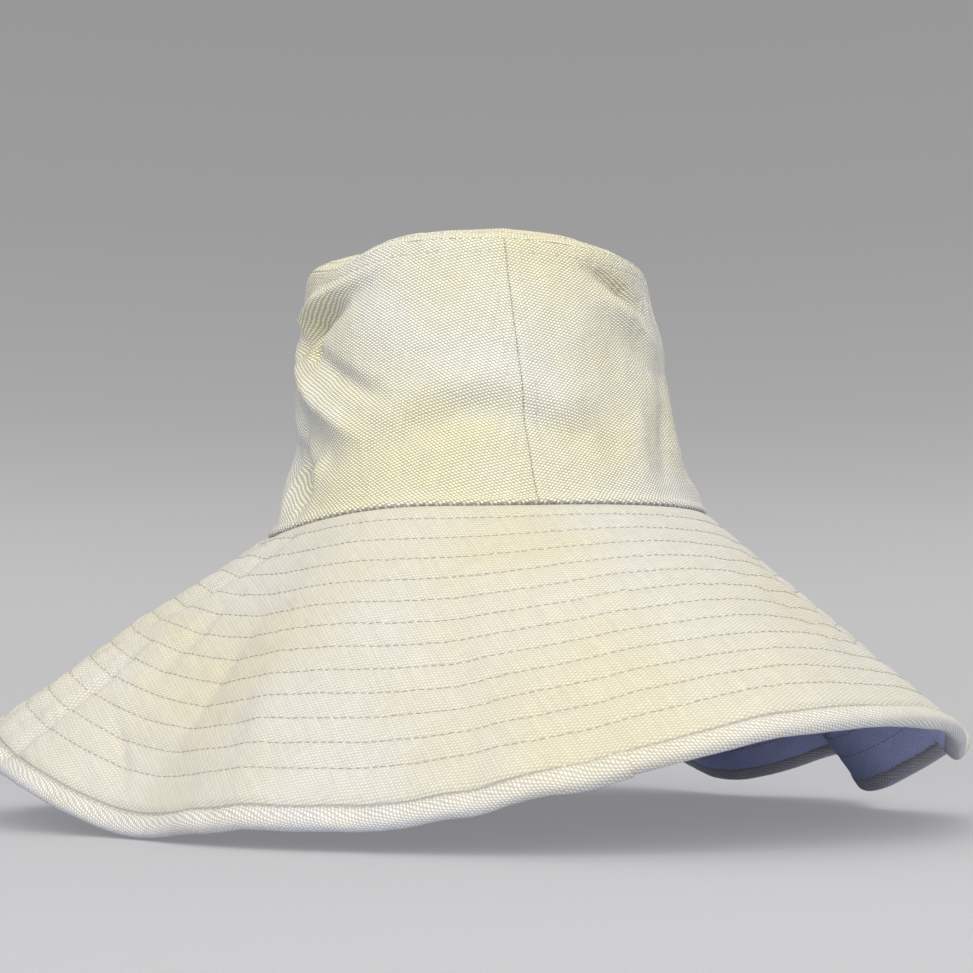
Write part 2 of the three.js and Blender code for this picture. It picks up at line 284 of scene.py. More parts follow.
# %% Creases and undulation of the brim
BRIM_FOLDS = [                        # width in mm, then azimuth, mm down the brim, height in mm
    (3.6, [(-156, 62, 0), (-156, 95, -3.4), (-157, 138, -2.2)]),
    (6, [(-162, 60, 0), (-162, 98, 3.0), (-163, 138, 1.8)]),
    (2.6, [(-149, 102, -0.6), (-144, 115, -2.3), (-140, 128, -0.3)]),
    (3.6, [(-142, 6, -0.8), (-153, 30, -2.4), (-163, 62, -1.6), (-170, 100, 0)]),
    (7, [(-150, 8, 0.8), (-161, 34, 2.2), (-171, 70, 1.2), (-176, 110, 0)]),
    (5, [(-146, 30, 0), (-147, 62, -1.9), (-148, 92, 0)]),
    (5, [(-134, 44, 0), (-135, 80, -1.7), (-136, 112, 0)]),
    (9, [(-128, 50, 0), (-120, 110, 1.4), (-116, 138, 0.6)]),
    (8, [(-98, 40, 0), (-93, 90, -1.2), (-91, 138, -1.6)]),
    (9, [(-70, 30, 0), (-73, 90, 0.9), (-76, 138, 0.6)]),
    (7, [(-46, 20, 0), (-42, 70, -1.1), (-40, 120, 0)]),
    (6, [(24, 30, 0), (26, 90, 1.4), (28, 138, 1.8)]),
]


def brim_fold_heights(azimuth, along):
    """The sum of the brim's folds, with their places turned into the flat pattern."""
    total = np.zeros(np.broadcast(azimuth, along).shape)
    for width, path in BRIM_FOLDS:
        spots = np.array(path, dtype=float)
        middle = spots[:, 0].mean()
        flat = brim_pattern(spots[:, 0], spots[:, 1] * MM, middle)
        line = np.column_stack([flat, spots[:, 2] * MM])
        total += fold_height(brim_pattern(azimuth, along, middle), line, width * MM)
    return total


def brim_shape(azimuth, along):
    """The middle surface that all layers of the brim share: the straight lines, bowed up, with
    folds, and with a slow and a quick undulation that both grow towards the edge."""
    azimuth, along = np.broadcast_arrays(azimuth, along)
    line = brim_line(azimuth, along)
    share = np.clip(along / BRIM_WIDTH, 0, 1)
    lift = BRIM_BOW * np.sin(np.pi * share) + brim_fold_heights(azimuth, along)
    lift = lift + share * 0.6 * MM * ripple(line, 60 * MM, seed=3)
    lift = lift + share * 0.3 * MM * ripple(line, 24 * MM, seed=4)
    slope = brim_slope(azimuth)
    angle = np.radians(azimuth)
    up = np.stack(
        [np.sin(slope) * np.cos(angle), np.sin(slope) * np.sin(angle), np.cos(slope)], axis=-1
    )
    return line + lift[..., None] * up


# %% [markdown]
# ## Quilting
#
# Rows of stitches hold the brim's layers together. The cloth sinks at each row and swells
# between two rows, and the pull of each stitch puckers it into tiny ripples along the row. The
# rows are one long spiral of thread, so a row lies a little further out after each turn.

# %% The relief that the quilting makes
FIRST_ROW = 5 * MM
ROW_PITCH = 10.4 * MM
ROW_TURNS = 12
QUILTING = 0.45 * MM                  # how far the cloth swells between two rows


def row_phase(azimuth, along):
    """How many rows a point lies past the first one: whole numbers are on a row."""
    turn = (azimuth - BRIM_SEAMS["left"]) % 360 / 360
    return (along - FIRST_ROW) / ROW_PITCH - turn


def quilting(azimuth, along, seed):
    """Metres above the stitched valleys: a swelling between rows, less a bump at each row, and
    puckers that fade within three millimetres of a row."""
    phase = row_phase(azimuth, along)
    quilted = (phase > -0.5) & (phase < ROW_TURNS - 0.5)
    away = np.abs(phase - np.round(phase))
    swelling = QUILTING * (1 - 0.8 * bump(away * ROW_PITCH, 1.9 * MM) - 0.2 * np.cos(np.pi * away) ** 2)
    line = brim_line(azimuth, along)
    puckers = 0.13 * MM * ripple(line, 5.5 * MM, seed=seed) * bump(away * ROW_PITCH, 3.0 * MM)
    return np.where(quilted, swelling + puckers, QUILTING)


def brim_relief(azimuth, along):
    """What the upper face adds to the shape: quilting, a rolled lip at the head seam, a
    valley at each side seam, and a dip where the binding is sewn on."""
    relief = quilting(azimuth, along, seed=11) - 0.5 * QUILTING
    relief = relief - 2.4 * MM * bump(along + 1.6 * MM, 1.0 * MM)
    relief = relief - 0.6 * MM * plateau(along, 1.6 * MM, 0.8 * MM)
    for seam in BRIM_SEAMS.values():
        across = np.radians(turned(azimuth, seam)) * (HEAD_HALF.mean() + 0.7 * along)
        relief = relief - 0.5 * MM * bump(across, 0.7 * MM)
        relief = relief + 0.25 * MM * plateau(across, 6 * MM, 1 * MM)
    return relief - 1.2 * MM * bump(along - (BRIM_WIDTH - BINDING_WIDTH - 0.8 * MM), 1.3 * MM)


def brim_top(azimuth, along):
    """The face that carries the upper rows of stitches."""
    return raised(brim_shape, azimuth, along, brim_relief(azimuth, along), outwards=-1)


def brim_under(azimuth, along):
    """The face below, its own quilting swelling downwards."""
    depth = -BRIM_THICKNESS - 0.8 * quilting(azimuth, along, seed=12)
    return raised(brim_shape, azimuth, along, depth, outwards=-1)


# %% [markdown]
# ## The crown's shape
#
# The wall is a cone between two ovals, drawn in a little above the head seam. Soft cloth doesn't
# stand as a clean cone, so it gets its folds as a list again: a pinch at the upper left, with a
# hard shadow under it, a crease under the tip seam at the right, and long soft valleys across
# the middle.

# %% The wall of the crown
WALL_PINCH = 2.7 * MM
FOOT_FLARE = 2.0 * MM
WALL_CONE = float(np.mean(HEAD_HALF - TIP_HALF)) / WALL_HEIGHT
WALL_CONE_REACH = HEAD_HALF.mean() / math.sin(math.atan(WALL_CONE))
WALL_FOLDS = [                        # width in mm, then azimuth, share of the height, mm out
    (3.6, [(-176, 0.80, 0), (-167, 0.82, 3.2), (-152, 0.875, 3.6), (-134, 0.91, 2.2), (-116, 0.93, 0)]),
    (5.6, [(-166, 0.71, -5), (-157, 0.76, -10), (-148, 0.80, -8.5), (-134, 0.84, -3), (-116, 0.88, 0)]),
    (3.2, [(-152, 0.66, -3.5), (-148, 0.72, -3), (-144, 0.78, 0)]),
    (4.4, [(-176, 0.73, 1.5), (-160, 0.60, 3.8), (-146, 0.46, 4.4), (-132, 0.34, 3.0), (-120, 0.24, 0)]),
    (4.4, [(-150, 0.66, -2.4), (-139, 0.56, -4.2), (-127, 0.47, -3.4), (-114, 0.38, 0)]),
    (7, [(-172, 0.52, -2.0), (-158, 0.41, -4.6), (-144, 0.30, -3.8), (-131, 0.19, -1.0)]),
    (9, [(-178, 0.36, -3.0), (-162, 0.27, -11.5), (-149, 0.16, -8.0), (-139, 0.08, -1.0)]),
    (3.4, [(-170, 0.36, 1.0), (-164, 0.20, 2.0), (-159, 0.06, 0.6)]),
    (3.4, [(-159, 0.36, -1.0), (-154, 0.20, -2.6), (-150, 0.08, -1.2)]),
    (5, [(-139, 0.30, 0.4), (-142, 0.19, 2.8), (-143, 0.07, 1.6)]),
    (7, [(-124, 0.20, -0.8), (-108, 0.28, -3.0), (-94, 0.34, -3.2), (-82, 0.34, -2.0),
         (-64, 0.24, -2.6), (-58, 0.12, 0)]),
    (7, [(-122, 0.36, 0.8), (-104, 0.44, 1.8), (-84, 0.47, 1.2), (-64, 0.38, 1.4)]),
    (3.8, [(-56, 0.92, -0.8), (-46, 0.89, -4.4), (-34, 0.85, -5.6), (-26, 0.81, -2.4), (-19, 0.77, 0)]),
    (16, [(-16, 0.76, 0.6), (-3, 0.70, 2.4), (14, 0.66, 1.5)]),
    (2.4, [(-19, 0.92, -0.4), (-20, 0.82, -1.8), (-17, 0.70, -0.8)]),
    (7, [(-22, 0.10, 0.6), (-6, 0.07, 2.8), (14, 0.06, 2.0)]),
    (4.0, [(-50, 0.80, 0.5), (-36, 0.76, 2.2), (-22, 0.68, 1.5), (-12, 0.58, 0)]),
    (6, [(-48, 0.72, -1.0), (-34, 0.64, -2.2), (-20, 0.54, -0.6)]),
    (6, [(-62, 0.34, -1.2), (-54, 0.22, -2.6), (-50, 0.08, 0)]),
    (6, [(-22, 0.50, -0.8), (-28, 0.34, -2.4), (-34, 0.14, -1.4)]),
    (6, [(-38, 0.42, 1.0), (-43, 0.26, 2.2), (-44, 0.08, 0.6)]),
    (9, [(20, 0.80, -3.0), (34, 0.62, -4.0), (52, 0.36, -1.0)]),
    (10, [(78, 0.30, -2.0), (104, 0.42, -3.5), (130, 0.34, -1.0)]),
    (7, [(120, 0.90, -3.5), (146, 0.82, -5.0), (166, 0.78, -1.0)]),
]
SEAM_DIP = 5.5 * MM                   # the tip seam sags into the pinch at the upper left


def wall_pattern(azimuth, up, centre):
    """The wall rolled out flat, as part of a ring round the cone's point, with the weave level
    at the azimuth that is the panel's centre."""
    reach = WALL_CONE_REACH - up * WALL_HEIGHT * math.hypot(1, WALL_CONE)
    angle = np.radians(turned(azimuth, centre)) * math.sin(math.atan(WALL_CONE))
    return np.stack([reach * np.sin(angle), -reach * np.cos(angle)], axis=-1)


def wall_cone(azimuth, up):
    """An oval whose half-widths, middle and height run evenly from the head seam (up = 0) to
    the tip seam (up = 1), less a pinch of up times (1 - up) squared, and less a flare that is
    gone within a few millimetres of the foot. Below 0 it hangs straight."""
    angle, share = np.radians(azimuth), np.clip(up, 0, 1)
    pinch = WALL_PINCH * 6.75 * share * np.square(1 - share)
    pinch = pinch + FOOT_FLARE * (1 - np.exp(-share * WALL_HEIGHT / (3 * MM))) * (1 - share) ** 3
    half = HEAD_HALF + share[..., None] * (TIP_HALF - HEAD_HALF) - pinch[..., None]
    middle = HEAD_CENTRE + share[..., None] * (TIP_CENTRE - HEAD_CENTRE)
    flat = middle + half * np.stack([np.cos(angle), np.sin(angle)], axis=-1)
    foot = head_seam_height(azimuth)
    height = foot + share * (TIP_HEIGHT - foot) + np.minimum(up, 0) * WALL_HEIGHT
    return np.concatenate([flat, height[..., None]], axis=-1)


def wall_shape(azimuth, up):
    """The cone with its folds, two undulations, and the dip of the tip seam."""
    azimuth, up = np.broadcast_arrays(azimuth, up)
    cone = wall_cone(azimuth, up)
    out = np.zeros(cone.shape[:-1])
    for width, path in WALL_FOLDS:
        spots = np.array(path, dtype=float)
        middle = spots[:, 0].mean()
        flat = wall_pattern(spots[:, 0], spots[:, 1], middle)
        line = np.column_stack([flat, spots[:, 2] * MM])
        out += fold_height(wall_pattern(azimuth, up, middle), line, width * MM)
    share = np.clip(up, 0, 1)
    calm = np.sin(np.pi * np.clip(share, 0.04, 0.96))
    out = out + 0.7 * MM * ripple(cone, 55 * MM, seed=21) * calm
    out = out + 0.3 * MM * ripple(cone, 17 * MM, seed=22) * (0.3 + 0.7 * calm)
    dip = bump(turned(azimuth, -141), 17) * share ** 4
    angle = np.radians(azimuth)
    move = np.stack([out * np.cos(angle), out * np.sin(angle), -SEAM_DIP * dip], axis=-1)
    return cone + move


# %% Relief of the crown's seams
TOPSTITCH = 5.5 * MM


def seam_azimuth(side, up):
    """The front seam leans: it stands further right at its foot than at its top."""
    return CROWN_SEAMS[side] + (2.4 - 3.4 * np.asarray(up) if side == "front" else 0.0)


def wall_relief(azimuth, up):
    """Seam allowances raise the cloth beside a seam, the seam itself is a narrow groove, each
    row of topstitching a shallow one, and the foot of the wall tucks in behind the brim."""
    height = up * WALL_HEIGHT
    relief = np.zeros(np.broadcast(azimuth, up).shape)
    for side in CROWN_SEAMS:
        across = np.radians(turned(azimuth, seam_azimuth(side, up)))
        across = across * HEAD_HALF.mean() * (1 - 0.2 * up)
        relief = relief + 0.3 * MM * plateau(across, 8 * MM, 1.6 * MM)
        relief = relief - 0.18 * MM * bump(across, 0.5 * MM)
        relief = relief - 0.15 * MM * bump(np.abs(across) - TOPSTITCH, 0.8 * MM)
    below = WALL_HEIGHT - height
    relief = relief + 0.4 * MM * plateau(below, 8 * MM, 1.2 * MM)
    relief = relief - 0.25 * MM * bump(below - TOPSTITCH, 0.8 * MM)
    relief = relief - 0.6 * MM * bump(below, 0.5 * MM)
    relief = relief + 1.0 * MM * bump(height - 1.9 * MM, 1.3 * MM)
    return relief - 2.8 * MM * bump(np.maximum(height, 0), 0.36 * MM)


def wall_face(azimuth, up):
    """The outer face of the crown wall. The step in up is a share of the height."""
    rise = 0.2 * MM / WALL_HEIGHT
    out = normals(wall_shape, azimuth, up, step_b=rise)
    puckers = 0.07 * MM * ripple(wall_cone(*np.broadcast_arrays(azimuth, up)), 6 * MM, seed=23)
    return wall_shape(azimuth, up) + (wall_relief(azimuth, up) + puckers)[..., None] * out


# %% The tip of the crown
def tip_shape(x, y):
    """A point of the tip from its place in the unit disc: out is the distance from the middle.
    The edge is the wall's own top edge, and the middle is domed by 1 - out to the fourth."""
    out = np.clip(np.hypot(x, y), 1e-6, None)
    azimuth = np.degrees(np.arctan2(y, x))
    edge = wall_shape(azimuth, np.ones_like(out))
    middle = np.array([*TIP_CENTRE, TIP_HEIGHT])
    point = middle + (edge - middle) * out[..., None]
    dome = TIP_DOME * (1 - np.minimum(out, 1) ** 4)
    sag = 1.1 * MM * ripple(point, 55 * MM, seed=31) + 0.3 * MM * ripple(point, 19 * MM, seed=32)
    calm = 1 - np.minimum(out, 1) ** 6
    point[..., 2] += dome + (sag - 1.2 * MM) * calm
    return point


def tip_face(x, y):
    """The tip with its edge rolled into the seam, the allowance under it and its topstitching."""
    out = np.hypot(x, y)
    below = (1 - out) * TIP_HALF.mean()
    relief = 0.5 * MM * plateau(below, 8 * MM, 1.2 * MM)
    relief = relief - 0.25 * MM * bump(below - TOPSTITCH, 0.8 * MM)
    relief = relief - 0.5 * MM * bump(below, 0.5 * MM)
    relief = relief + 0.07 * MM * ripple(tip_shape(x, y), 6 * MM, seed=33)
    return tip_shape(x, y) + relief[..., None] * normals(tip_shape, x, y, 0.002, 0.002)

# %% [markdown]
# ## Canvas
#
# The cloth is a heavy half-basket weave: two fine yarns run side by side up the cloth, and one
# runs across, over two and under two. Close to, it shows as flat beads 1.3 mm wide and 0.7 mm
# high, in a chequer. An image could hold that, but a formula stays sharp at any size. The
# pattern is worked out in the flat pattern of each panel, so the weave lies as it was cut, and
# turns at the seams. The single yarn stands out as beads and the pairs lie low between them.
# Three more things keep it from looking printed: yarns that wander, slubs that are longer along
# the yarn than across, and slow changes of colour.
#
# A real hat like this has one canvas all over. Here the crown, the brim, the under cloth and the
# binding each get their own colours, to balance this scene's lights: the difference in brightness
# between the crown and the brim is painted light and shade, and the under cloth's cool blue-grey
# is painted shade. The seams are also darkened by a painted line of shade, because their grooves
# are too fine to shade themselves fully.

# %% A small helper that wires shader nodes
class Nodes:
    """Adds shader nodes to a material. Each call returns the new node's output socket."""

    def __init__(self, material):
        self.tree = material.node_tree

    def add(self, kind, **inputs):
        node = self.tree.nodes.new(kind)
        for name, value in inputs.items():
            self.feed(node.inputs[name.replace("_", " ")], value)
        return node

    def feed(self, socket, value):
        if isinstance(value, bpy.types.NodeSocket):
            self.tree.links.new(value, socket)
        else:
            socket.default_value = value

    def maths(self, operation, *values):
        node = self.tree.nodes.new("ShaderNodeMath")
        node.operation = operation
        for socket, value in zip(node.inputs, values):
            self.feed(socket, value)
        return node.outputs[0]

    def vector(self, operation, *values):
        node = self.tree.nodes.new("ShaderNodeVectorMath")
        node.operation = operation
        for socket, value in zip(node.inputs, values):
            self.feed(socket, value)
        return node.outputs[0]

    def length(self, value):
        node = self.tree.nodes.new("ShaderNodeVectorMath")
        node.operation = "LENGTH"
        self.feed(node.inputs[0], value)
        return node.outputs["Value"]

    def noise(self, place, scale, detail=2.0):
        return self.add("ShaderNodeTexNoise", Vector=place, Scale=scale, Detail=detail).outputs

    def spread(self, value, low, high, to_low, to_high):
        """The value carried from one range to another, and held at the new range's ends."""
        node = self.add("ShaderNodeMapRange", Value=value)
        for name, number in zip(
            ("From Min", "From Max", "To Min", "To Max"), (low, high, to_low, to_high)
        ):
            node.inputs[name].default_value = number
        return node.outputs[0]

    def blend(self, share, first, second, kind="MIX"):
        node = self.tree.nodes.new("ShaderNodeMix")
        node.data_type = "RGBA"
        node.blend_type = kind
        self.feed(node.inputs[0], share)
        self.feed(node.inputs[6], first)
        self.feed(node.inputs[7], second)
        return node.outputs[2]


def colour(red, green, blue):
    """A colour given as on a screen, 0 to 255, in the linear numbers that a shader wants."""
    screen = np.array([red, green, blue]) / 255
    linear = np.where(screen <= 0.04045, screen / 12.92, ((screen + 0.055) / 1.055) ** 2.4)
    return (*linear.tolist(), 1.0)


# %% The height of a half-basket weave
COLUMN = 1.30 * MM                    # width of a pair of yarns that run up the cloth
ROW = 0.67 * MM                       # height of a single yarn that runs across


def weave_height(nodes, place):
    """0 in the gaps to 1 on the crowns of the yarns. A yarn is round across its width, by the
    square root of 1 - x squared, and arched along each float, by a cosine. The whole parts of
    the two coordinates say by their sum, odd or even, which yarn is on top. The pairs are scaled
    down to a quarter, so they lie low and the single yarn's floats stand out as beads. The canvas
    takes its colour from this height as well, so the gaps and the low pairs are painted shade."""
    split = nodes.add("ShaderNodeSeparateXYZ", Vector=place).outputs
    across = nodes.maths("DIVIDE", split[0], COLUMN)
    upward = nodes.maths("DIVIDE", split[1], ROW)
    sum_of_wholes = nodes.maths("ADD", nodes.maths("FLOOR", across), nodes.maths("FLOOR", upward))
    single_on_top = nodes.maths("FLOORED_MODULO", sum_of_wholes, 2.0)

    def centred(value):
        return nodes.maths("SUBTRACT", nodes.maths("FRACT", value), 0.5)

    def round_yarn(value):
        squared = nodes.maths("MULTIPLY", nodes.maths("POWER", nodes.maths("ABSOLUTE", value), 2.0), 4.0)
        return nodes.maths("SQRT", nodes.maths("SUBTRACT", 1.001, squared))

    def arch(value):
        return nodes.maths("COSINE", nodes.maths("MULTIPLY", value, 0.78 * math.pi))

    single = nodes.maths(
        "MULTIPLY", round_yarn(centred(upward)), arch(centred(across))
    )
    pair = nodes.maths(
        "MULTIPLY", round_yarn(centred(nodes.maths("MULTIPLY", across, 2.0))), arch(centred(upward))
    )
    pair = nodes.maths("MULTIPLY_ADD", pair, 0.25, 0.05)
    gap = nodes.maths("SUBTRACT", single, pair)
    return nodes.maths("MULTIPLY_ADD", gap, single_on_top, pair), upward, across


# %% The canvas material
def new_material(name, roughness, sheen=0.15):
    """A matt cloth to start from: its material, its shader, and a helper that wires nodes."""
    material = bpy.data.materials.new(name)
    material.use_nodes = True
    shader = material.node_tree.nodes["Principled BSDF"]
    shader.inputs["Roughness"].default_value = roughness
    shader.inputs["Specular IOR Level"].default_value = 0.25
    shader.inputs["Sheen Weight"].default_value = sheen
    shader.inputs["Sheen Roughness"].default_value = 0.6
    return material, shader, Nodes(material)


def canvas(name, yarn, gap, warm, turn=0.0, relief=0.26 * MM, grime=0.0, seam_at=0.0, seam_shade=0.0):
    """Canvas in two colours, of the yarns' crowns and of the gaps, tinted warm in patches. The
    gaps' colour, laid by the weave's height, is painted shade between the yarns.
    turn is the angle of the weave in the flat pattern in radians, and grime how much the cloth
    is greyed in patches. Every pattern is part of a ring, so a seam is a distance from the
    ring's middle: beyond seam_at the cloth is down in the seam and is painted darker, by the
    share seam_shade."""
    material, shader, nodes = new_material(name, roughness=0.93)
    pattern = nodes.add("ShaderNodeUVMap")
    pattern.uv_map = "pattern"
    turned_pattern = nodes.add("ShaderNodeVectorRotate", Vector=pattern.outputs[0])
    turned_pattern.rotation_type = "Z_AXIS"
    turned_pattern.inputs["Angle"].default_value = turn
    flat = turned_pattern.outputs[0]
    wander = nodes.vector("SUBTRACT", nodes.noise(flat, 110.0)["Color"], (0.5, 0.5, 0.5))
    wandering = nodes.vector("MULTIPLY_ADD", wander, (0.0011, 0.0008, 0.0), flat)
    height, upward, across = weave_height(nodes, wandering)

    along_yarn = nodes.vector("MULTIPLY", flat, (60.0, 1 / ROW, 1.0))
    slub = nodes.noise(along_yarn, 1.0, detail=1.0)["Fac"]
    across_yarn = nodes.vector("MULTIPLY", flat, (1 / COLUMN, 45.0, 1.0))
    second_slub = nodes.noise(across_yarn, 1.0, detail=1.0)["Fac"]
    slubs = nodes.maths("ADD", slub, second_slub)

    # The low places take the gap colour: painted shade between the yarns.
    body = nodes.blend(nodes.spread(height, 0.0, 0.75, 0.0, 1.0), gap, yarn)
    tone = nodes.spread(slubs, 0.6, 1.4, 0.90, 1.05)
    grey = nodes.add("ShaderNodeCombineColor", Red=tone, Green=tone, Blue=tone).outputs[0]
    body = nodes.blend(1.0, body, grey, "MULTIPLY")
    object_place = nodes.add("ShaderNodeTexCoord").outputs["Object"]
    cloud = nodes.noise(object_place, 14.0, detail=4.0)["Fac"]
    warmth = nodes.spread(cloud, 0.35, 0.65, 0.0, 1.0)
    body = nodes.blend(warmth, body, nodes.blend(1.0, body, warm, "MULTIPLY"))
    speck_noise = nodes.noise(nodes.vector("MULTIPLY", flat, (600.0, 900.0, 1.0)), 1.0, detail=0.0)["Fac"]
    specks = nodes.spread(speck_noise, 0.80, 0.86, 0.0, 0.55)
    body = nodes.blend(specks, body, colour(176, 160, 128))
    if grime:
        patches = nodes.noise(object_place, 42.0, detail=6.0)["Fac"]
        body = nodes.blend(nodes.spread(patches, 0.45, 0.75, 0.0, grime), body, colour(168, 160, 142))
    if seam_shade:
        from_middle = nodes.length(pattern.outputs[0])
        in_seam = nodes.spread(
            from_middle, seam_at - 0.4 * MM, seam_at + 0.3 * MM, 0.0, seam_shade
        )
        body = nodes.blend(in_seam, body, colour(92, 93, 102))
    nodes.feed(shader.inputs["Base Color"], body)

    fuzz = nodes.noise(flat, 5200.0, detail=2.0)["Fac"]
    surface = nodes.maths("MULTIPLY_ADD", fuzz, 0.25, height)
    surface = nodes.maths("MULTIPLY_ADD", slubs, 0.35, surface)
    bump_node = nodes.add("ShaderNodeBump", Height=surface)
    bump_node.inputs["Strength"].default_value = 1.0
    bump_node.inputs["Distance"].default_value = relief
    nodes.feed(shader.inputs["Normal"], bump_node.outputs[0])
    return material


# The crown and the brim are one canvas on the hat: the difference in brightness and weave contrast between
# these two colour sets is painted light and shade.
crown_canvas = canvas(
    "crown_canvas", colour(252, 249, 232), colour(128, 125, 110), warm=colour(255, 250, 222),
    relief=0.34 * MM, seam_at=WALL_CONE_REACH - 0.5 * MM, seam_shade=0.85,
)
brim_canvas = canvas(
    "brim_canvas", colour(214, 211, 197), colour(175, 171, 157), warm=colour(255, 251, 232),
    relief=0.22 * MM, seam_shade=0.5,
    seam_at=HEAD_HALF.mean() / PATTERN_CONE + BRIM_WIDTH - BINDING_WIDTH - 1.1 * MM,
)
# The under cloth's cool blue-grey tint is painted shade: the cool light under the brim, laid into the
# cloth's colour.
under_canvas = canvas(
    "under_canvas", colour(230, 233, 250), colour(200, 203, 220), warm=colour(250, 250, 255)
)
binding_canvas = canvas(
    "binding_canvas", colour(234, 231, 221), colour(156, 152, 140), warm=colour(255, 252, 238),
    turn=math.pi / 4, relief=0.3 * MM, grime=0.2,
)
print("canvas materials made")


# %% Thread, tape and twill
def thread_material(name, body):
    """A twisted thread: diagonal lines of plies from the sine of length plus girth."""
    material, shader, nodes = new_material(name, roughness=0.7, sheen=0.1)
    pattern = nodes.add("ShaderNodeUVMap")
    pattern.uv_map = "pattern"
    split = nodes.add("ShaderNodeSeparateXYZ", Vector=pattern.outputs[0]).outputs
    lengthwise = nodes.maths("MULTIPLY", split[0], 2 * math.pi / (1.1 * MM))
    twist = nodes.maths("MULTIPLY_ADD", split[1], 2 * math.pi * 3, lengthwise)
    ply = nodes.spread(nodes.maths("SINE", twist), -1.0, 1.0, 0.0, 1.0)
    shade = tuple(0.72 * channel for channel in body[:3]) + (1.0,)
    nodes.feed(shader.inputs["Base Color"], nodes.blend(ply, shade, body))
    bump_node = nodes.add("ShaderNodeBump", Height=ply)
    bump_node.inputs["Distance"].default_value = 0.08 * MM
    nodes.feed(shader.inputs["Normal"], bump_node.outputs[0])
    return material


def twill(name, body, shade, pitch=0.9 * MM):
    """A diagonal rib: the sine of the two flat coordinates added together, plus fine noise."""
    material, shader, nodes = new_material(name, roughness=0.88)
    pattern = nodes.add("ShaderNodeUVMap")
    pattern.uv_map = "pattern"
    split = nodes.add("ShaderNodeSeparateXYZ", Vector=pattern.outputs[0]).outputs
    diagonal = nodes.maths("MULTIPLY_ADD", split[1], 1.6, split[0])
    rib = nodes.maths("SINE", nodes.maths("MULTIPLY", diagonal, 2 * math.pi / pitch))
    rib = nodes.spread(rib, -1.0, 1.0, 0.0, 1.0)
    mottle = nodes.noise(pattern.outputs[0], 900.0, detail=3.0)["Fac"]
    height = nodes.maths("MULTIPLY_ADD", mottle, 0.5, rib)
    lit = nodes.spread(height, 0.2, 1.2, 0.0, 1.0)
    nodes.feed(shader.inputs["Base Color"], nodes.blend(lit, shade, body))
    bump_node = nodes.add("ShaderNodeBump", Height=height)
    bump_node.inputs["Distance"].default_value = 0.12 * MM
    nodes.feed(shader.inputs["Normal"], bump_node.outputs[0])
    return material


# The hat has one thread. The quilting thread is darker than the seam thread only as painted shade, of the
# holes that its stitches sink into.
quilting_thread = thread_material("quilting_thread", colour(188, 182, 165))
seam_thread = thread_material("seam_thread", colour(214, 209, 190))
sweatband_twill = twill("sweatband_twill", colour(226, 222, 208), colour(190, 184, 166))
tape_cotton = twill("tape_cotton", colour(220, 216, 202), colour(186, 180, 164), pitch=0.6 * MM)
label_cloth = twill("label_cloth", colour(236, 233, 224), colour(206, 202, 190), pitch=0.4 * MM)
interlining_felt = twill("interlining_felt", colour(224, 222, 214), colour(200, 198, 190), pitch=2.0 * MM)

# %% [markdown]
# ## The crown
#
# Each side panel is a sheet over half the wall, cut straight across the seams. The seam
# between them is drawn in by the relief, with the allowances raised under it. The foot of each
# panel runs on below the head seam, behind the brim.

# %% Side panels and tip
COARSE = 1
SEAM_OPENING = 0.025                   # degrees that a sheet stops short of its seam


def panel_grid(start, columns, up_values):
    """Azimuths over half the hat from a seam at start, paired with every height."""
    azimuths = np.linspace(start + SEAM_OPENING, start + 180 - SEAM_OPENING, columns // COARSE)
    return grid(azimuths, up_values)


allowance = -SEAM_ALLOWANCE / WALL_HEIGHT
foot_heights = np.array([-1, 0, 0.12, 0.24, 0.36, 0.5, 0.7, 1.0, 1.4, 1.9, 2.5, 3.2, 4.0]) * MM / WALL_HEIGHT
wall_heights = np.concatenate(
    [[allowance], foot_heights, np.linspace(foot_heights[-1], 1, 114 // COARSE)[1:]]
)
for side, start in (("right", CROWN_SEAMS["front"]), ("left", CROWN_SEAMS["back"])):
    azimuth, up = panel_grid(start, 330, wall_heights)
    near_front = 1 - (azimuth - start) / 180 if side == "right" else (azimuth - start) / 180
    azimuth = azimuth + near_front ** 3 * (seam_azimuth("front", up) - CROWN_SEAMS["front"])
    panel = cloth_mesh(
        f"{side}_panel", wall_face(azimuth, up), wall_pattern(azimuth, up, start + 90)
    )
    thickened(panel, CLOTH, crown_canvas)
    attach(panel, "root")
    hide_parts(f"crown_panel_{side}")
    print(panel.name, len(panel.data.polygons), "quads")


def disc(count):
    """A square grid pressed into the unit disc, so that it has no pole: x times the root of
    1 - y squared / 2, and y likewise."""
    x, y = grid(np.linspace(-1, 1, count), np.linspace(-1, 1, count))
    return x * np.sqrt(1 - y * y / 2), y * np.sqrt(1 - x * x / 2)


disc_x, disc_y = disc(190 // COARSE)
tip = cloth_mesh(
    "tip", tip_face(disc_x, disc_y), np.stack([disc_x * TIP_HALF[0], disc_y * TIP_HALF[1]], axis=-1)
)
thickened(tip, CLOTH, crown_canvas)
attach(tip, "root")
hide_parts("crown_tip")
print(tip.name, len(tip.data.polygons), "quads")

# %% [markdown]
# ## The brim
#
# The upper and the under cloth are two sheets each, joined at the sides, and they take their
# shape from the same middle surface, one lifted to the top and one to the bottom of the stack.
# The interlining lies between them and is seen only if the brim is cut open.

# %% Upper cloth, interlining and under cloth
EDGE_INSIDE = 3.0 * MM                # the cloths stop this far inside the bound edge
along_values = np.concatenate(
    [np.linspace(-1.6 * MM, 1.6 * MM, 7), np.linspace(1.6 * MM, BRIM_WIDTH - EDGE_INSIDE, 122 // COARSE)[1:]]
)


def interlining_face(azimuth, along):
    """The middle of the stack, with no quilting of its own."""
    middle = np.full(np.broadcast(azimuth, along).shape, -0.42 * BRIM_THICKNESS)
    return raised(brim_shape, azimuth, along, middle, outwards=-1)


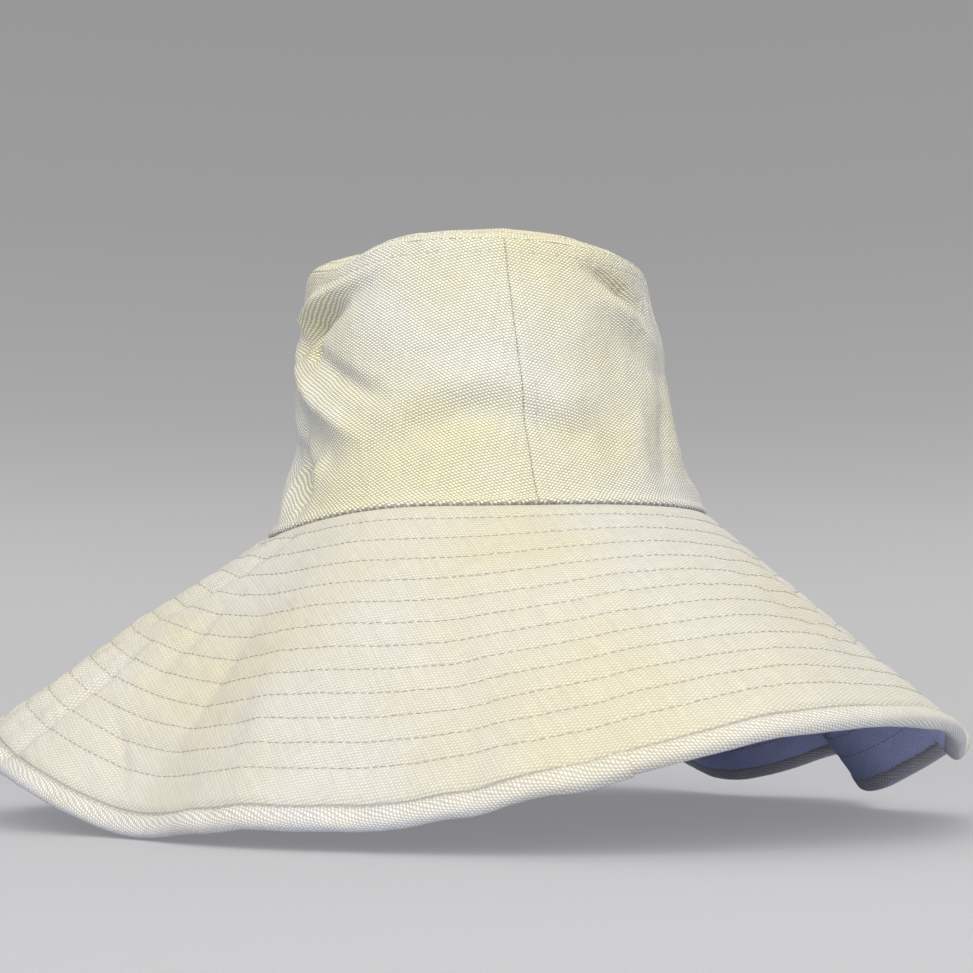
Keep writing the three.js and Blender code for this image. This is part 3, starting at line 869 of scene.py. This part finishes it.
for side, start in (("front", BRIM_SEAMS["left"]), ("back", BRIM_SEAMS["right"])):
    azimuth, along = panel_grid(start, 380, along_values)
    pattern = brim_pattern(azimuth, along, BRIM_GRAINS[side])
    upper = cloth_mesh(
        f"brim_upper_{side}", brim_top(azimuth, along)[:, ::-1], pattern[:, ::-1]
    )
    thickened(upper, 1.1 * MM, brim_canvas)
    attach(upper, "root")
    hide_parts(f"brim_top_{side}")

    lower = cloth_mesh(f"brim_lower_{side}", brim_under(azimuth, along), pattern)
    thickened(lower, 1.1 * MM, under_canvas)
    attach(lower, "root")
    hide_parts(f"brim_under_{side}")

    inner_azimuth, inner_along = panel_grid(start, 180, np.linspace(2 * MM, 140 * MM, 40))
    stiffener = cloth_mesh(
        f"stiffener_{side}",
        interlining_face(inner_azimuth, inner_along)[:, ::-1],
        brim_pattern(inner_azimuth, inner_along, BRIM_GRAINS[side])[:, ::-1],
    )
    thickened(stiffener, 0.5 * MM, interlining_felt)
    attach(stiffener, "root")
    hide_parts(f"brim_interlining_{side}")
    brim_quads = sum(len(sheet.data.polygons) for sheet in (upper, lower, stiffener))
    print(side, "half of the brim:", brim_quads, "quads")

# %% [markdown]
# ## The binding
#
# A strip of the same canvas, cut on the slant so that it can bend, is folded over the edge.
# The fold of the strip stands up a little from the brim, its outer edge is plump, and where its
# two ends meet, one lies over the other and ends in a small step. The strip is carried along
# the edge as a profile: an oval with flattened sides, open towards the brim.

# %% Carry the binding's profile round the edge
BINDING_HALF = np.array([4.2, 2.95]) * MM      # half its width down the brim, half its thickness
BINDING_MIDDLE = BRIM_WIDTH - BINDING_HALF[0]
BINDING_START = -84.5                          # the strip begins under its own last end
BINDING_END = -77.0 + 360.0
BINDING_OPEN = 166.0                           # degrees from the outer edge to each folded edge


def binding_face(azimuth, girth):
    """The outer face of the strip. girth is an angle from -1 (folded edge on top) over 0 (outer
    edge) to 1 (folded edge below). The profile's two halves are powers 0.75 of cosine and sine,
    and the last stretch is thicker, because it lies on the first."""
    angle = np.radians(girth * BINDING_OPEN)
    outwards = np.sign(np.cos(angle)) * np.abs(np.cos(angle)) ** 0.75
    upwards = -np.sign(np.sin(angle)) * np.abs(np.sin(angle)) ** 0.75
    overlap = 0.5 + 0.5 * np.tanh((azimuth - (BINDING_START + 361.0)) / 0.8)
    half = BINDING_HALF + 0.55 * MM * overlap[..., None]
    line = brim_line(azimuth, np.full(np.broadcast(azimuth, girth).shape, BINDING_MIDDLE))
    plump = 1 + 0.05 * ripple(line, 26 * MM, seed=41) + 0.03 * ripple(line, 9 * MM, seed=42)
    row = bump(np.abs(girth) - 0.80, 0.06) * 0.4 * MM
    along = BINDING_MIDDLE + half[..., 0] * outwards
    lift = -BRIM_THICKNESS / 2 + (half[..., 1] * plump - row) * upwards
    return raised(brim_shape, azimuth, along, lift, outwards=-1)


def binding_strip():
    count, across = 1360 // COARSE, 33
    azimuth, girth = grid(
        np.linspace(BINDING_START, BINDING_END, count), np.linspace(1, -1, across)
    )
    points = binding_face(azimuth, girth)
    steps = np.linalg.norm(np.diff(points[:, across // 2], axis=0), axis=-1)
    length = np.concatenate([[0], np.cumsum(steps)])
    width = np.linspace(-0.5, 0.5, across) * 24 * MM
    pattern = np.stack(np.broadcast_arrays(length[:, None], width[None, :]), axis=-1)
    return cloth_mesh("edge_binding", points, pattern), length[-1]


binding, binding_length = binding_strip()
thickened(binding, 0.9 * MM, binding_canvas)
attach(binding, "root")
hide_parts("brim_binding")
print(f"binding {binding_length / MM:.0f} mm long")

# %% [markdown]
# ## Inside the crown
#
# A twill sweatband lines the head opening, its lower edge sewn to the head seam. Tapes hide the
# raw edges of the tip seam and of the two upright seams, and a small blank label sits in the
# sweatband at the back. All of them are strips laid against the inside of the wall.

# %% Sweatband, tapes and label
def inside_strip(name, azimuths, heights, inset, thickness, material, wave=0.0):
    """A strip against the inside of the wall: inset behind the wall's shape, with a ripple that
    grows towards its free upper edge."""
    azimuth, up = grid(azimuths, np.asarray(heights) / WALL_HEIGHT)

    inwards = -normals(wall_shape, azimuth, up, step_b=0.2 * MM / WALL_HEIGHT)
    share = (up - up.min()) / (up.max() - up.min())
    sway = wave * share ** 2 * ripple(wall_cone(azimuth, up), 40 * MM, seed=51)
    points = wall_shape(azimuth, up) + (inset + sway)[..., None] * inwards
    pattern = wall_pattern(azimuth, up, float(np.mean(azimuths)))
    strip = cloth_mesh(name, points[:, ::-1], pattern[:, ::-1])
    thickened(strip, thickness, material)
    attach(strip, "root")
    return strip


SWEATBAND_HEIGHT = 32 * MM
ends = CROWN_SEAMS["back"]
sweatband = inside_strip(
    "sweatband_strip", np.linspace(ends + 0.3, ends + 359.7, 360 // COARSE),
    np.linspace(-SEAM_ALLOWANCE, SWEATBAND_HEIGHT, 24), 4.2 * MM, 1.0 * MM, sweatband_twill, 0.6 * MM,
)
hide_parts("sweatband")

tip_tape = inside_strip(
    "tip_tape", np.linspace(0, 360, 241), np.linspace(0.88, 0.97, 6) * WALL_HEIGHT,
    2.1 * MM, 0.5 * MM, tape_cotton,
)
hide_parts("tip_seam_tape")

for side, seam in CROWN_SEAMS.items():
    seam_tape = inside_strip(
        f"seam_tape_{side}_strip", np.linspace(seam - 6, seam + 6, 13),
        np.linspace(0, 0.78, 60) * WALL_HEIGHT, 2.1 * MM, 0.5 * MM, tape_cotton,
    )
    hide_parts(f"side_seam_tape_{side}")

label = inside_strip(
    "blank_label", np.linspace(60, 84, 30), np.linspace(9, 27, 14) * MM, 5.6 * MM, 0.4 * MM, label_cloth,
)
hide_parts("size_label")
print("inside strips made")

# %% [markdown]
# ## Stitches
#
# A row of machine stitches is a row of short, slightly arched pieces of thread, each with both
# ends going down into the cloth. One stitch is a small closed spindle of six-sided rings. A row
# is a path over a face of the hat: the path is measured, cut into equal steps, and a spindle is
# set on each, with its height along the face's normal. All the stitches of a row are computed
# together as one array.

# %% Set stitches along a path on a face
STITCH_PITCH = 3.1 * MM
STITCH_LENGTH = 2.6 * MM
THREAD_RADIUS = 0.23 * MM
STITCH_SHARES = np.array([0.0, 0.14, 0.5, 0.86, 1.0])
STITCH_GIRTHS = np.array([0.0, 0.85, 1.0, 0.85, 0.0])
STITCH_ARCH = np.array([-0.30, 0.10, 0.20, 0.10, -0.30]) * MM
SIDES = 6


def spindle_triangles():
    """The triangles of one stitch: point 0, then three rings of six, then the last point."""
    k = np.arange(SIDES)
    l = (k + 1) % SIDES
    last = 1 + 3 * SIDES
    fans = [np.stack([0 * k, 1 + l, 1 + k], axis=-1)]
    for ring in range(2):
        a, b = 1 + ring * SIDES, 1 + (ring + 1) * SIDES
        fans.append(np.stack([a + k, a + l, b + l], axis=-1))
        fans.append(np.stack([a + k, b + l, b + k], axis=-1))
    fans.append(np.stack([last + 0 * k, last - SIDES + k, last - SIDES + l], axis=-1))
    return np.concatenate(fans)


def stitch_row(
    name, face, path, start, end, steps, nodes_replaced, sign=1, spacing=(0.05, 0.2 * MM),
    thread=seam_thread,
):
    """Stitches on face along path, which gives the face's two coordinates for a parameter that
    runs from start to end. sign is +1 where the face's normal points at the viewer."""
    fine = np.linspace(start, end, steps)
    points = face(*path(fine))
    lengths = np.concatenate([[0], np.cumsum(np.linalg.norm(np.diff(points, axis=0), axis=-1))])
    begins = np.arange(0.5 * MM, lengths[-1] - STITCH_LENGTH, STITCH_PITCH)
    begins = begins + 0.12 * MM * np.sin(begins * 911.0)
    parameter = np.interp(begins[:, None] + STITCH_SHARES * STITCH_LENGTH, lengths, fine)
    a, b = path(parameter)
    centre = face(a, b)
    up = sign * normals(face, a, b, *spacing)
    forward = unit(centre[:, -1:] - centre[:, :1])
    side = np.cross(up, forward)
    around = 2 * np.pi * np.arange(SIDES) / SIDES
    girth = THREAD_RADIUS * STITCH_GIRTHS[None, 1:4, None, None]
    middle = centre + STITCH_ARCH[None, :, None] * up
    rings = middle[:, 1:4, None] + girth * (
        np.cos(around)[:, None] * side[:, 1:4, None] + 0.8 * np.sin(around)[:, None] * up[:, 1:4, None]
    )
    count = len(begins)
    vertices = np.concatenate(
        [middle[:, :1], rings.reshape(count, -1, 3), middle[:, -1:]], axis=1
    )
    distance = begins[:, None] + STITCH_SHARES * STITCH_LENGTH
    ring_u = np.repeat(distance[:, 1:4], SIDES, axis=1)
    ring_v = np.broadcast_to(np.tile(np.arange(SIDES) / SIDES, 3), ring_u.shape)
    pattern = np.stack(
        [np.column_stack([distance[:, :1], ring_u, distance[:, -1:]]),
         np.column_stack([np.zeros((count, 1)), ring_v, np.zeros((count, 1))])], axis=-1
    )
    per_stitch = vertices.shape[1]
    triangles = spindle_triangles()[None] + per_stitch * np.arange(count)[:, None, None]
    row = triangle_mesh(name, vertices.reshape(-1, 3), triangles.reshape(-1, 3), pattern.reshape(-1, 2))
    row.data.materials.append(thread)
    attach(row, "root")
    if nodes_replaced:
        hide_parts(*nodes_replaced)
    print(f"{name}: {count} stitches")
    return row


def triangle_mesh(name, vertices, triangles, uv):
    """A mesh from triangles, with a place in the pattern for each vertex."""
    mesh = bpy.data.meshes.new(name)
    mesh.vertices.add(len(vertices))
    mesh.vertices.foreach_set("co", vertices.reshape(-1).astype(np.float32))
    mesh.loops.add(triangles.size)
    mesh.loops.foreach_set("vertex_index", triangles.reshape(-1).astype(np.int32))
    mesh.polygons.add(len(triangles))
    mesh.polygons.foreach_set("loop_start", np.arange(0, triangles.size, 3, dtype=np.int32))
    mesh.polygons.foreach_set("use_smooth", np.ones(len(triangles), dtype=bool))
    layer = mesh.uv_layers.new(name="pattern")
    layer.data.foreach_set("uv", uv[triangles.reshape(-1)].reshape(-1).astype(np.float32))
    mesh.update(calc_edges=True)
    mesh.validate()
    piece = bpy.data.objects.new(name, mesh)
    bpy.context.collection.objects.link(piece)
    return piece


# %% Quilting, above and below
def spiral(turned_by):
    """The quilting's path: one row further out for each whole turn."""
    return BRIM_SEAMS["left"] + turned_by, FIRST_ROW + ROW_PITCH * turned_by / 360


whole = 360.0 * ROW_TURNS
stitch_row(
    "quilting_upper", brim_top, spiral, 0, whole, 9000, ["brim_quilting_thread"], sign=-1,
    thread=quilting_thread,
)
stitch_row("quilting_lower", brim_under, spiral, 0, whole, 9000, [], thread=quilting_thread)

# %% The crown's topstitching
RISE = 0.2 * MM / WALL_HEIGHT


def below_tip_seam(azimuth):
    return azimuth, np.full_like(azimuth, 1 - TOPSTITCH / WALL_HEIGHT)


def inside_tip_seam(azimuth):
    out = 1 - TOPSTITCH / TIP_HALF.mean()
    return out * np.cos(np.radians(azimuth)), out * np.sin(np.radians(azimuth))


stitch_row(
    "topstitch_below_tip", wall_face, below_tip_seam, 0, 360, 800, ["tip_topstitch_lower"],
    spacing=(0.05, RISE),
)
stitch_row(
    "topstitch_on_tip", tip_face, inside_tip_seam, 0, 360, 800, ["tip_topstitch_upper"],
    spacing=(0.002, 0.002),
)
for side, seam in CROWN_SEAMS.items():
    for hand, sign in (("left", -1), ("right", 1)):
        def beside_seam(up, side=side, sign=sign):
            radius = HEAD_HALF.mean() * (1 - 0.2 * up)
            return seam_azimuth(side, up) + sign * np.degrees(TOPSTITCH / radius), up

        stitch_row(
            f"topstitch_{side}_{hand}", wall_face, beside_seam, 0.03, 0.94, 200,
            [f"crown_topstitch_{side}_{hand}"], spacing=(0.05, RISE),
        )

# %% The rows that hold the binding and the sweatband
def on_binding(azimuth):
    return azimuth, np.full_like(azimuth, -0.80)


def under_binding(azimuth):
    return azimuth, np.full_like(azimuth, 0.80)


binding_span = (BINDING_START + 8, BINDING_END - 0.5, 1600)
stitch_row(
    "binding_row_upper", binding_face, on_binding, *binding_span, ["binding_stitch"], sign=-1,
    spacing=(0.05, 0.01), thread=quilting_thread,
)
stitch_row(
    "binding_row_lower", binding_face, under_binding, *binding_span, [], sign=-1,
    spacing=(0.05, 0.01),
)


def sweatband_face(azimuth, up):
    inwards = -normals(wall_shape, azimuth, up, step_b=RISE)
    return wall_shape(azimuth, up) + 5.2 * MM * inwards


def low_on_sweatband(azimuth):
    return azimuth, np.full_like(azimuth, 3 * MM / WALL_HEIGHT)


stitch_row(
    "sweatband_row", sweatband_face, low_on_sweatband, ends + 1, ends + 359, 800,
    ["sweatband_stitch"], sign=-1, spacing=(0.05, RISE),
)

# %% [markdown]
# ## Floor, backdrop and light
#
# The hat stands on a pale seamless sweep: a floor that curves up into a wall all round, so that
# any view has the same plain ground. One wide soft light hangs overhead, a stronger one stands
# in front, and two weak ones fill the right and the back. The underside of the brim is lit
# mostly by what the paper sends back. That is a cooler grey than the one the camera sees.

# %% Paper for the sweep
PAPER = [                             # height in metres, then the grey seen there, as measured
    (0.0, 196), (0.12, 195), (0.22, 194), (0.34, 188), (0.46, 178), (0.57, 170), (0.70, 165),
    (0.94, 158), (1.45, 152),
]
SHADOW_SHARE = 0.60                   # how much of the floor's brightness can be shaded


def paper():
    """Grey paper in two guises. What the camera sees is mostly its own even glow, so that shadows
    on the floor stay pale. What lights the hat is a different surface, a cool pale grey."""
    material = bpy.data.materials.new("paper")
    material.use_nodes = True
    nodes = Nodes(material)
    nodes.tree.nodes.clear()
    place = nodes.add("ShaderNodeTexCoord").outputs["Object"]
    height = nodes.add("ShaderNodeSeparateXYZ", Vector=place).outputs[2]
    ramp = nodes.add("ShaderNodeValToRGB", Fac=nodes.maths("DIVIDE", height, PAPER[-1][0]))
    for _ in PAPER[2:]:
        ramp.color_ramp.elements.new(0.5)
    for element, (at, grey) in zip(ramp.color_ramp.elements, PAPER):
        element.position = at / PAPER[-1][0]
        element.color = colour(grey, grey - 1, grey)
    tone = ramp.outputs[0]
    shaded = nodes.spread(nodes.length(place), 0.35, 1.0, SHADOW_SHARE, 0.0)
    glow = nodes.add("ShaderNodeEmission", Color=tone, Strength=nodes.maths("SUBTRACT", 1.0, shaded))
    lit_share = nodes.maths("MULTIPLY", shaded, 0.87)
    lit_tone = nodes.blend(lit_share, (0.0, 0.0, 0.0, 1.0), tone)
    lit = nodes.add("ShaderNodeBsdfDiffuse", Color=lit_tone)
    seen = nodes.tree.nodes.new("ShaderNodeAddShader")
    nodes.feed(seen.inputs[0], glow.outputs[0])
    nodes.feed(seen.inputs[1], lit.outputs[0])
    plain = nodes.add("ShaderNodeBsdfDiffuse", Color=colour(204, 210, 236))
    either = nodes.tree.nodes.new("ShaderNodeMixShader")
    rays = nodes.tree.nodes.new("ShaderNodeLightPath")
    nodes.feed(either.inputs[0], rays.outputs["Is Camera Ray"])
    nodes.feed(either.inputs[1], plain.outputs[0])
    nodes.feed(either.inputs[2], seen.outputs[0])
    surface = nodes.tree.nodes.new("ShaderNodeOutputMaterial")
    nodes.feed(surface.inputs["Surface"], either.outputs[0])
    return material


# %% A sweep of floor and wall
def sweep():
    """A profile turned about the vertical: a flat floor to 2.0 m, a quarter circle, a wall."""
    corner = 0.6
    bend = np.linspace(-np.pi / 2, 0, 24)
    radius = np.concatenate([[0.0, 1.0], 2.0 + corner * np.cos(bend), [2.0 + corner]])
    height = np.concatenate([[0.0, 0.0], corner + corner * np.sin(bend), [3.2]])
    azimuth, step = grid(np.linspace(0, 2 * np.pi, 97)[:-1], np.arange(len(radius)))
    points = np.stack(
        [radius[step] * np.cos(azimuth), radius[step] * np.sin(azimuth), height[step]], axis=-1
    )
    rolled_out = np.stack([azimuth, height[step]], axis=-1)
    place = cloth_mesh("sweep", points[:, ::-1], rolled_out[:, ::-1], round_about=True)
    place.data.materials.append(paper())
    return place


sweep()


def area_light(name, place, size, power, tint):
    """A square light that looks at the hat's middle."""
    light = bpy.data.lights.new(name, "AREA")
    light.size = size
    light.energy = power
    light.color = tint
    lamp = bpy.data.objects.new(name, light)
    lamp.location = place
    aim = np.array([0.0, 0.0, 0.12]) - np.array(place)
    lamp.rotation_euler = (
        math.pi / 2 + math.atan2(aim[2], math.hypot(aim[0], aim[1])), 0.0,
        math.atan2(aim[1], aim[0]) - math.pi / 2,
    )
    lamp.visible_camera = False
    bpy.context.collection.objects.link(lamp)


area_light("softbox_top", (0.0, 0.2, 1.7), 1.4, 10.0, (1.0, 0.98, 0.93))
area_light("key_front", (-0.05, -1.55, 1.15), 2.0, 53.0, (1.0, 0.975, 0.90))
area_light("fill_right", (1.3, -0.8, 0.7), 0.9, 1.0, (1.0, 0.98, 0.93))
area_light("fill_back", (0.5, 1.5, 1.1), 1.2, 8.0, (1.0, 0.98, 0.93))

world = bpy.data.worlds.new("studio")
world.use_nodes = True
background = world.node_tree.nodes["Background"]
background.inputs["Color"].default_value = (0.82, 0.88, 1.0, 1.0)
background.inputs["Strength"].default_value = 0.16
bpy.context.scene.world = world
bpy.context.scene.view_settings.view_transform = "Standard"
